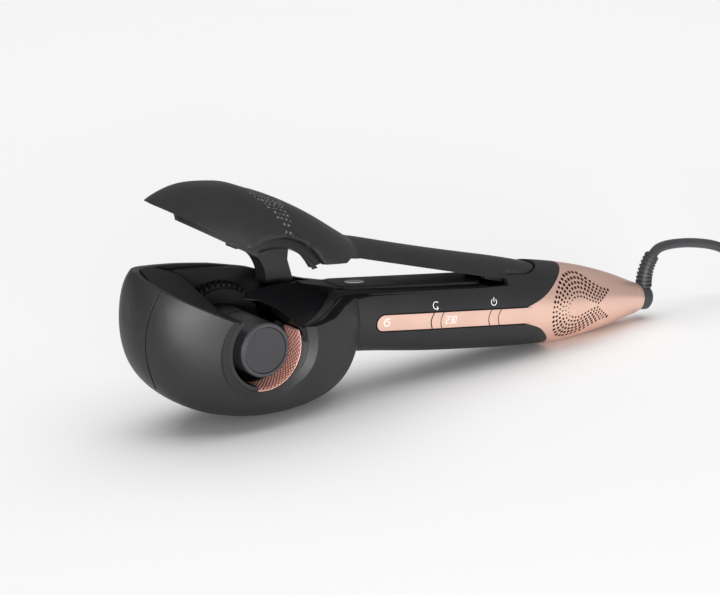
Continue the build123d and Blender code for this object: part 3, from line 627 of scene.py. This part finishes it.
def knurl(theta, y):
    """How high the diamond knurl stands, from 0 in its valleys to 1."""
    u = theta * KNURL_R / KNURL
    v = (y - LINER_FRONT) / KNURL
    return min(ripple(u + v), ripple(u - v))


def liner_place(i, k):
    """The angle about the barrel and the y of a place on the liner's grid."""
    theta = math.radians(LINER_START + LINER_SWEEP * i / LINER_AROUND)
    return theta, LINER_FRONT + (LINER_BACK - LINER_FRONT) * k / LINER_DEEP


def liner_mesh():
    """The liner's corners and faces, and the faces in the knurl's valleys, which get painted shade."""
    grid = [(i, k) for i in range(LINER_AROUND + 1) for k in range(LINER_DEEP + 1)]
    verts, faces, shaded_valleys = [], [], set()
    for i, k in grid:
        theta, y = liner_place(i, k)
        t = k / LINER_DEEP
        edge = min(1.0, 12 * min(t, 1 - t), 40 * min(i, LINER_AROUND - i) / LINER_AROUND)
        radius = LINER_MOUTH_R - LINER_TAPER * t ** 0.7 - KNURL_HEIGHT * knurl(theta, y) * edge
        verts.append(place(radius * math.cos(theta), y, radius * math.sin(theta)))
    seat = len(verts)
    for i, k in grid:
        theta, y = liner_place(i, k)
        verts.append(place(LINER_SEAT_R * math.cos(theta), y, LINER_SEAT_R * math.sin(theta)))
    step = LINER_DEEP + 1
    for i in range(LINER_AROUND):
        for k in range(LINER_DEEP):
            if knurl(*liner_place(i + 0.5, k + 0.5)) < SHADE_BELOW:
                shaded_valleys.add(len(faces))
            a = i * step + k
            faces.append((a, a + 1, a + step + 1, a + step))
            b = a + seat
            faces.append((b, b + step, b + step + 1, b + 1))
    for i in range(LINER_AROUND):
        a = i * step
        faces.append((a, a + step, a + step + seat, a + seat))
        b = a + LINER_DEEP
        faces.append((b, b + seat, b + step + seat, b + step))
    for k in range(LINER_DEEP):
        faces.append((k, k + seat, k + 1 + seat, k + 1))
        c = LINER_AROUND * step + k
        faces.append((c, c + 1, c + 1 + seat, c + seat))
    return verts, faces, shaded_valleys


liner_verts, liner_faces, shaded_valley_faces = liner_mesh()
liner = mesh_object("chamber_liner_knurled", liner_verts, liner_faces, rose_liner)
# the knurl's valleys get painted shade
two_materials(liner, rose_liner, rose_valley_shade, lambda face: face.index in shaded_valley_faces)
liner.data.set_sharp_from_angle(angle=math.radians(50))
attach(liner, "base")
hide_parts("chamber_liner")


# ---------------------------------------------------------------- bezel round the chamber mouth
BEZEL_PROFILE = [(19.72, -28.6), (19.72, -29.55), (19.95, -29.85), (20.6, -30.02), (22.0, -30.42),
                 (24.4, -31.42), (24.4, -30.7), (22.6, -29.6), (22.0, -28.6)]
BEZEL_START, BEZEL_STOP = 141, 378


def lathe(name, profile, start, stop, material, count=150):
    """A closed (radius, y) profile turned about the barrel axis from a start to a stop angle."""
    verts, faces = [], []
    sides = len(profile)
    for i in range(count + 1):
        theta = math.radians(start + (stop - start) * i / count)
        verts += [place(r * math.cos(theta), y, r * math.sin(theta)) for r, y in profile]
    for i in range(count):
        for k in range(sides):
            a, b = i * sides + k, i * sides + (k + 1) % sides
            faces.append((a, a + sides, b + sides, b))
    faces.append(tuple(range(sides)))
    faces.append(tuple(reversed(range(count * sides, (count + 1) * sides))))
    made = mesh_object(name, verts, faces, material)
    face_outward(made)
    made.data.set_sharp_from_angle(angle=math.radians(35))
    return made


bezel = lathe("mouth_bezel", BEZEL_PROFILE, BEZEL_START, BEZEL_STOP, soft_touch)
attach(bezel, "base")


# ---------------------------------------------------------------- fine lines and icons on the near side
SINK = 0.06  # how far a ribbon reaches into the surface under it


def ribbon(name, tree, strokes, width, lift, material, aside=0.0):
    """Thin raised strokes that follow the near side: each stroke is a list of design (x, z) points.

    The height is taken a little aside of a stroke that runs along a seam.
    """
    back = turn(-aside, 0, 0)
    verts, faces = [], []
    for stroke in strokes:
        placed = [side_hit(tree, x + aside, z) for x, z in stroke]
        placed = [(p[0] + back, p[1]) for p in placed if p]
        closed = math.dist(stroke[0], stroke[-1]) < 1e-6
        base = len(verts)
        count = len(placed)
        for i, (point, normal) in enumerate(placed):
            before = placed[i - 1][0] if i else (placed[-2][0] if closed else point)
            after = placed[i + 1][0] if i < count - 1 else (placed[1][0] if closed else point)
            side = normal.cross((after - before).normalized()).normalized() * (width / 2000)
            high, low = normal * (lift / 1000), normal * (-SINK / 1000)
            verts += [point + side + low, point + side + high, point - side + high, point - side + low]
        for i in range(count - 1):
            a, b = base + 4 * i, base + 4 * i + 4
            for k in range(4):
                faces.append((a + k, a + (k + 1) % 4, b + (k + 1) % 4, b + k))
        if not closed:
            last = base + 4 * (count - 1)
            faces.append((base, base + 3, base + 2, base + 1))
            faces.append((last, last + 1, last + 2, last + 3))
    made = mesh_object(name, verts, faces, material, smooth=False)
    face_outward(made)
    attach(made, "base")
    return made


def arc(cx, cz, r, start, stop, count=24, shrink=0.0):
    """Points along an arc, or along a spiral whose radius shrinks by that much over it."""
    made = []
    for k in range(count + 1):
        angle = math.radians(start + (stop - start) * k / count)
        radius = r - shrink * k / count
        made.append((cx + radius * math.cos(angle), cz + radius * math.sin(angle)))
    return made


handle_surface = surface_of("housing_near")
strip_surface = surface_of("strip_front", "strip_middle", "strip_rear")
panel_surface = surface_of("strip_front", "strip_middle", "strip_rear", "button_curl", "button_power")
ICON_LINE, ICON_LIFT = 0.3, 0.05
CURL_X, CURL_Z, CURL_R = 102.0, 14.7, 1.75
POWER_X, POWER_Z, POWER_R = 136.9, 14.9, 1.6
SWIRL_X, SWIRL_Z, SWIRL_R, SWIRL_SHRINK, SWIRL_LINE = 74.2, 7.1, 2.25, 1.5, 0.36
arrow_head = [(CURL_X + a, CURL_Z + b) for a, b in ((0.5, -2.3), (1.3, -1.4), (0.4, -0.5))]
ribbon("icon_curl", handle_surface, [arc(CURL_X, CURL_Z, CURL_R, 50, 310), arrow_head],
       ICON_LINE, ICON_LIFT, icon_white)
ribbon("icon_power", handle_surface,
       [arc(POWER_X, POWER_Z, POWER_R, 125, 415), [(POWER_X, POWER_Z + 0.1), (POWER_X, POWER_Z + 2.3)]],
       ICON_LINE, ICON_LIFT, icon_white)
ribbon("icon_swirl", strip_surface, [arc(SWIRL_X, SWIRL_Z, SWIRL_R, 60, 480, 40, shrink=SWIRL_SHRINK)],
       SWIRL_LINE, ICON_LIFT, icon_white)

BUTTON_HALF = 2.8
GAP_OFF = 0.08
GAP_BOW = 1.2
GAP_LOW, GAP_TALL = 3.1, 7.9
GAP_LIFT, GAP_ASIDE = 0.07, 0.7
BUTTONS = (("curl", 103.7, (0.55, 0.32)), ("power", 138.4, (0.4, 0.32)))  # middle, widths of its two gaps


def button_edge(x):
    """The bowed line of a button's edge, from the strip's lower side to its upper."""
    return [(x + GAP_BOW * (2 * ((k - 8) / 10) ** 2 - 1), GAP_LOW + GAP_TALL * k / 16) for k in range(17)]


for name, centre, widths in BUTTONS:
    for side, mark, width in zip((-1, 1), "ab", widths):
        edge = button_edge(centre + side * (BUTTON_HALF + GAP_OFF))
        ribbon(f"button_gap_{name}_{mark}", panel_surface, [edge], width, GAP_LIFT, line_black,
               aside=GAP_ASIDE * side)

# the dark edge of the strip's seat, on the housing
STRIP_LOW, STRIP_HIGH, STRIP_START, STRIP_STOP = 2.62, 11.48, 68.0, 161.0
SEAT_STEP, SEAT_POINTS = 1.5, 59
SEAT_LINE, SEAT_LIFT = 0.6, 0.06
seat_r = (STRIP_HIGH - STRIP_LOW) / 2
seat_z = (STRIP_HIGH + STRIP_LOW) / 2
straight = [STRIP_STOP - SEAT_STEP * k for k in range(SEAT_POINTS)]
seat_edge = [(x, STRIP_HIGH) for x in straight]
seat_edge += arc(STRIP_START + seat_r, seat_z, seat_r, 90, 270)
seat_edge += [(x, STRIP_LOW) for x in reversed(straight)]
ribbon("strip_seat_edge", handle_surface, [seat_edge], SEAT_LINE, SEAT_LIFT, line_black)

SEGMENTS = {"2": [(0, 2), (1, 2), (1, 1), (0, 1), (0, 0), (1, 0)],
            "3": [(0, 2), (1, 2), (1, 1), (0.3, 1), (1, 1), (1, 0), (0, 0)],
            "0": [(0, 0), (0, 2), (1, 2), (1, 0), (0, 0)]}
DIGIT_X, DIGIT_Z, DIGIT_PITCH = 108.6, 5.4, 2.2
DIGIT_WIDE, DIGIT_TALL = 1.45, 1.7


def digit_stroke(digit, place_number):
    """The corners of a digit's one stroke, with points between them."""
    x = DIGIT_X + DIGIT_PITCH * place_number
    corners = [(x + DIGIT_WIDE * a, DIGIT_Z + DIGIT_TALL * b) for a, b in SEGMENTS[digit]]
    made = []
    for a, b in zip(corners, corners[1:]):
        made += [tuple(p + (q - p) * t / 4 for p, q in zip(a, b)) for t in range(4)]
    return made + [corners[-1]]


ribbon("digits", strip_surface, [digit_stroke(digit, k) for k, digit in enumerate("230")],
       0.26, ICON_LIFT, icon_white)


# ---------------------------------------------------------------- the shoulder rail along the deck
RAIL = [  # outer edge, inner edge
    ((20.4, -29.6, 10.9), (20.6, -29.2, 11.3)),
    ((25.5, -29.0, 12.2), (25.8, -27.4, 13.9)),
    ((30.5, -28.0, 13.9), (30.2, -25.7, 16.5)),
    ((34.8, -26.4, 16.3), (33.8, -23.3, 18.9)),
    ((38.6, -24.0, 19.0), (37.8, -19.8, 21.2)),
    ((43.5, -20.6, 21.2), (43.2, -15.0, 22.8)),
    ((50.5, -17.6, 21.9), (51.5, -12.2, 22.9)),
    ((60.0, -16.4, 22.0), (61.0, -11.7, 22.9)),
    ((80.0, -16.3, 21.9), (80.0, -11.5, 22.6)),
    ((105.0, -16.3, 21.8), (105.0, -11.5, 22.4)),
    ((136.5, -16.4, 21.8), (136.5, -11.5, 22.3)),
]
CROWN = Vector((0, -0.35, 0.5))
FULL_WIDTH = 5  # a band at least this wide has its whole crown
INNER_ROOT = Vector((0, 0.3, -1.5))
OUTER_ROOT = Vector((0, 0.7, -1.0))


def smooth_line(control, per=10):
    """Catmull-Rom points through a list of 3D points."""
    ends = [control[0]] + list(control) + [control[-1]]
    made = []
    for a, b, c, d in zip(ends, ends[1:], ends[2:], ends[3:]):
        for k in range(per):
            t = k / per
            made.append(tuple(0.5 * ((2 * q) + (-p + r) * t + (2 * p - 5 * q + 4 * r - s) * t * t
                                     + (-p + 3 * q - 3 * r + s) * t ** 3) for p, q, r, s in zip(a, b, c, d)))
    made.append(tuple(control[-1]))
    return made


def band(name, edges, crown_share, material):
    """A long moulded band between an outer and an inner edge, crowned between them."""
    outer_edge = smooth_line([a for a, b in edges])
    inner_edge = smooth_line([b for a, b in edges])
    verts, faces = [], []
    across = 8
    for a, b in zip(outer_edge, inner_edge):
        a, b = Vector(a), Vector(b)
        full = min(1.0, (b - a).length / FULL_WIDTH) * crown_share
        for k in range(across + 1):
            t = k / across
            verts.append(place(*(a + (b - a) * t + CROWN * math.sin(math.pi * t) ** 0.7 * full)))
        verts.append(place(*(b + INNER_ROOT)))
        verts.append(place(*(a + OUTER_ROOT)))
    step = across + 3
    for i in range(len(outer_edge) - 1):
        for k in range(step):
            a, b = i * step + k, i * step + (k + 1) % step
            faces.append((a, b, b + step, a + step))
    faces.append(tuple(range(step)))
    faces.append(tuple(reversed(range(len(verts) - step, len(verts)))))
    made = mesh_object(name, verts, faces, material)
    made.data.set_sharp_from_angle(angle=math.radians(45))
    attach(made, "base")
    return made


rail = band("deck_rail", RAIL, 0.35, soft_touch)
GROOVE_LOW = [(20.4, -29.95, 10.3), (26.0, -29.6, 10.9), (31.5, -29.0, 11.7), (36.6, -28.1, 13.0),
              (41.6, -25.7, 15.4), (45.0, -23.2, 17.7), (51.1, -20.2, 19.4), (61.0, -18.3, 20.6),
              (80.0, -18.0, 20.8), (105.0, -18.1, 20.7), (136.5, -18.2, 20.7)]
groove = band("deck_groove", [(low, (a[0], a[1] + 0.2, a[2] - 0.1)) for low, (a, b) in zip(GROOVE_LOW, RAIL)],
              0.1, line_black)


# ---------------------------------------------------------------- floor, light and camera
floor_data = bpy.data.meshes.new("floor")
FLOOR_HALF = 14.0
floor_data.from_pydata([(-FLOOR_HALF, -FLOOR_HALF, 0), (FLOOR_HALF, -FLOOR_HALF, 0),
                        (FLOOR_HALF, FLOOR_HALF, 0), (-FLOOR_HALF, FLOOR_HALF, 0)], [], [(0, 1, 2, 3)])
floor = bpy.data.objects.new("floor", floor_data)
scene.collection.objects.link(floor)
paper, _, paper_shader, _ = new_material("pale_floor")
paper_shader.inputs["Base Color"].default_value = (0.9, 0.9, 0.9, 1)
paper_shader.inputs["Roughness"].default_value = 0.9
paper_shader.inputs["Specular IOR Level"].default_value = 0.1
floor_data.materials.append(paper)

AMBIENT = 0.33
world = bpy.data.worlds.new("studio")
world.use_nodes = True
world.node_tree.nodes["Background"].inputs[0].default_value = (1, 1, 1, 1)
world.node_tree.nodes["Background"].inputs[1].default_value = AMBIENT
scene.world = world
scene.view_settings.view_transform = "Standard"


def soft_light(name, where, at, power, width, height):
    """A rectangular lamp at one point, facing another."""
    lamp = bpy.data.lights.new(name, "AREA")
    lamp.shape = "RECTANGLE"
    lamp.size = width
    lamp.size_y = height
    lamp.energy = power
    made = bpy.data.objects.new(name, lamp)
    made.location = where
    made.rotation_mode = "QUATERNION"
    made.rotation_quaternion = (Vector(at) - Vector(where)).to_track_quat("-Z", "Y")
    scene.collection.objects.link(made)
    return made


overhead = soft_light("top", (0.35, 0.75, 2.6), (0.25, 0.6, 0.0), 85.0, 4.2, 4.0)
overhead.visible_glossy = False
soft_light("front", (-0.56, -1.22, 0.1), (-0.02, 0.0, 0.04), 17.0, 0.6, 0.2)

# the camera's place in metres, and in degrees its bearing from +Y towards +X, its rise and its roll
CAMERA_AT = (-0.6531, -0.9842, 0.3829)
BEARING, RISE, ROLL = 32.393, -16.205, -2.271
camera_data = bpy.data.cameras.new("camera")
camera_data.lens = 123.75
camera_data.sensor_width = 36.0
camera_data.clip_start = 0.05
camera_data.clip_end = 60.0
camera = bpy.data.objects.new("camera", camera_data)
camera.matrix_world = (Matrix.Translation(CAMERA_AT)
                       @ Matrix.Rotation(math.radians(-BEARING), 4, "Z")
                       @ Matrix.Rotation(math.radians(90 + RISE), 4, "X")
                       @ Matrix.Rotation(math.radians(ROLL), 4, "Z"))
scene.collection.objects.link(camera)
scene.camera = camera
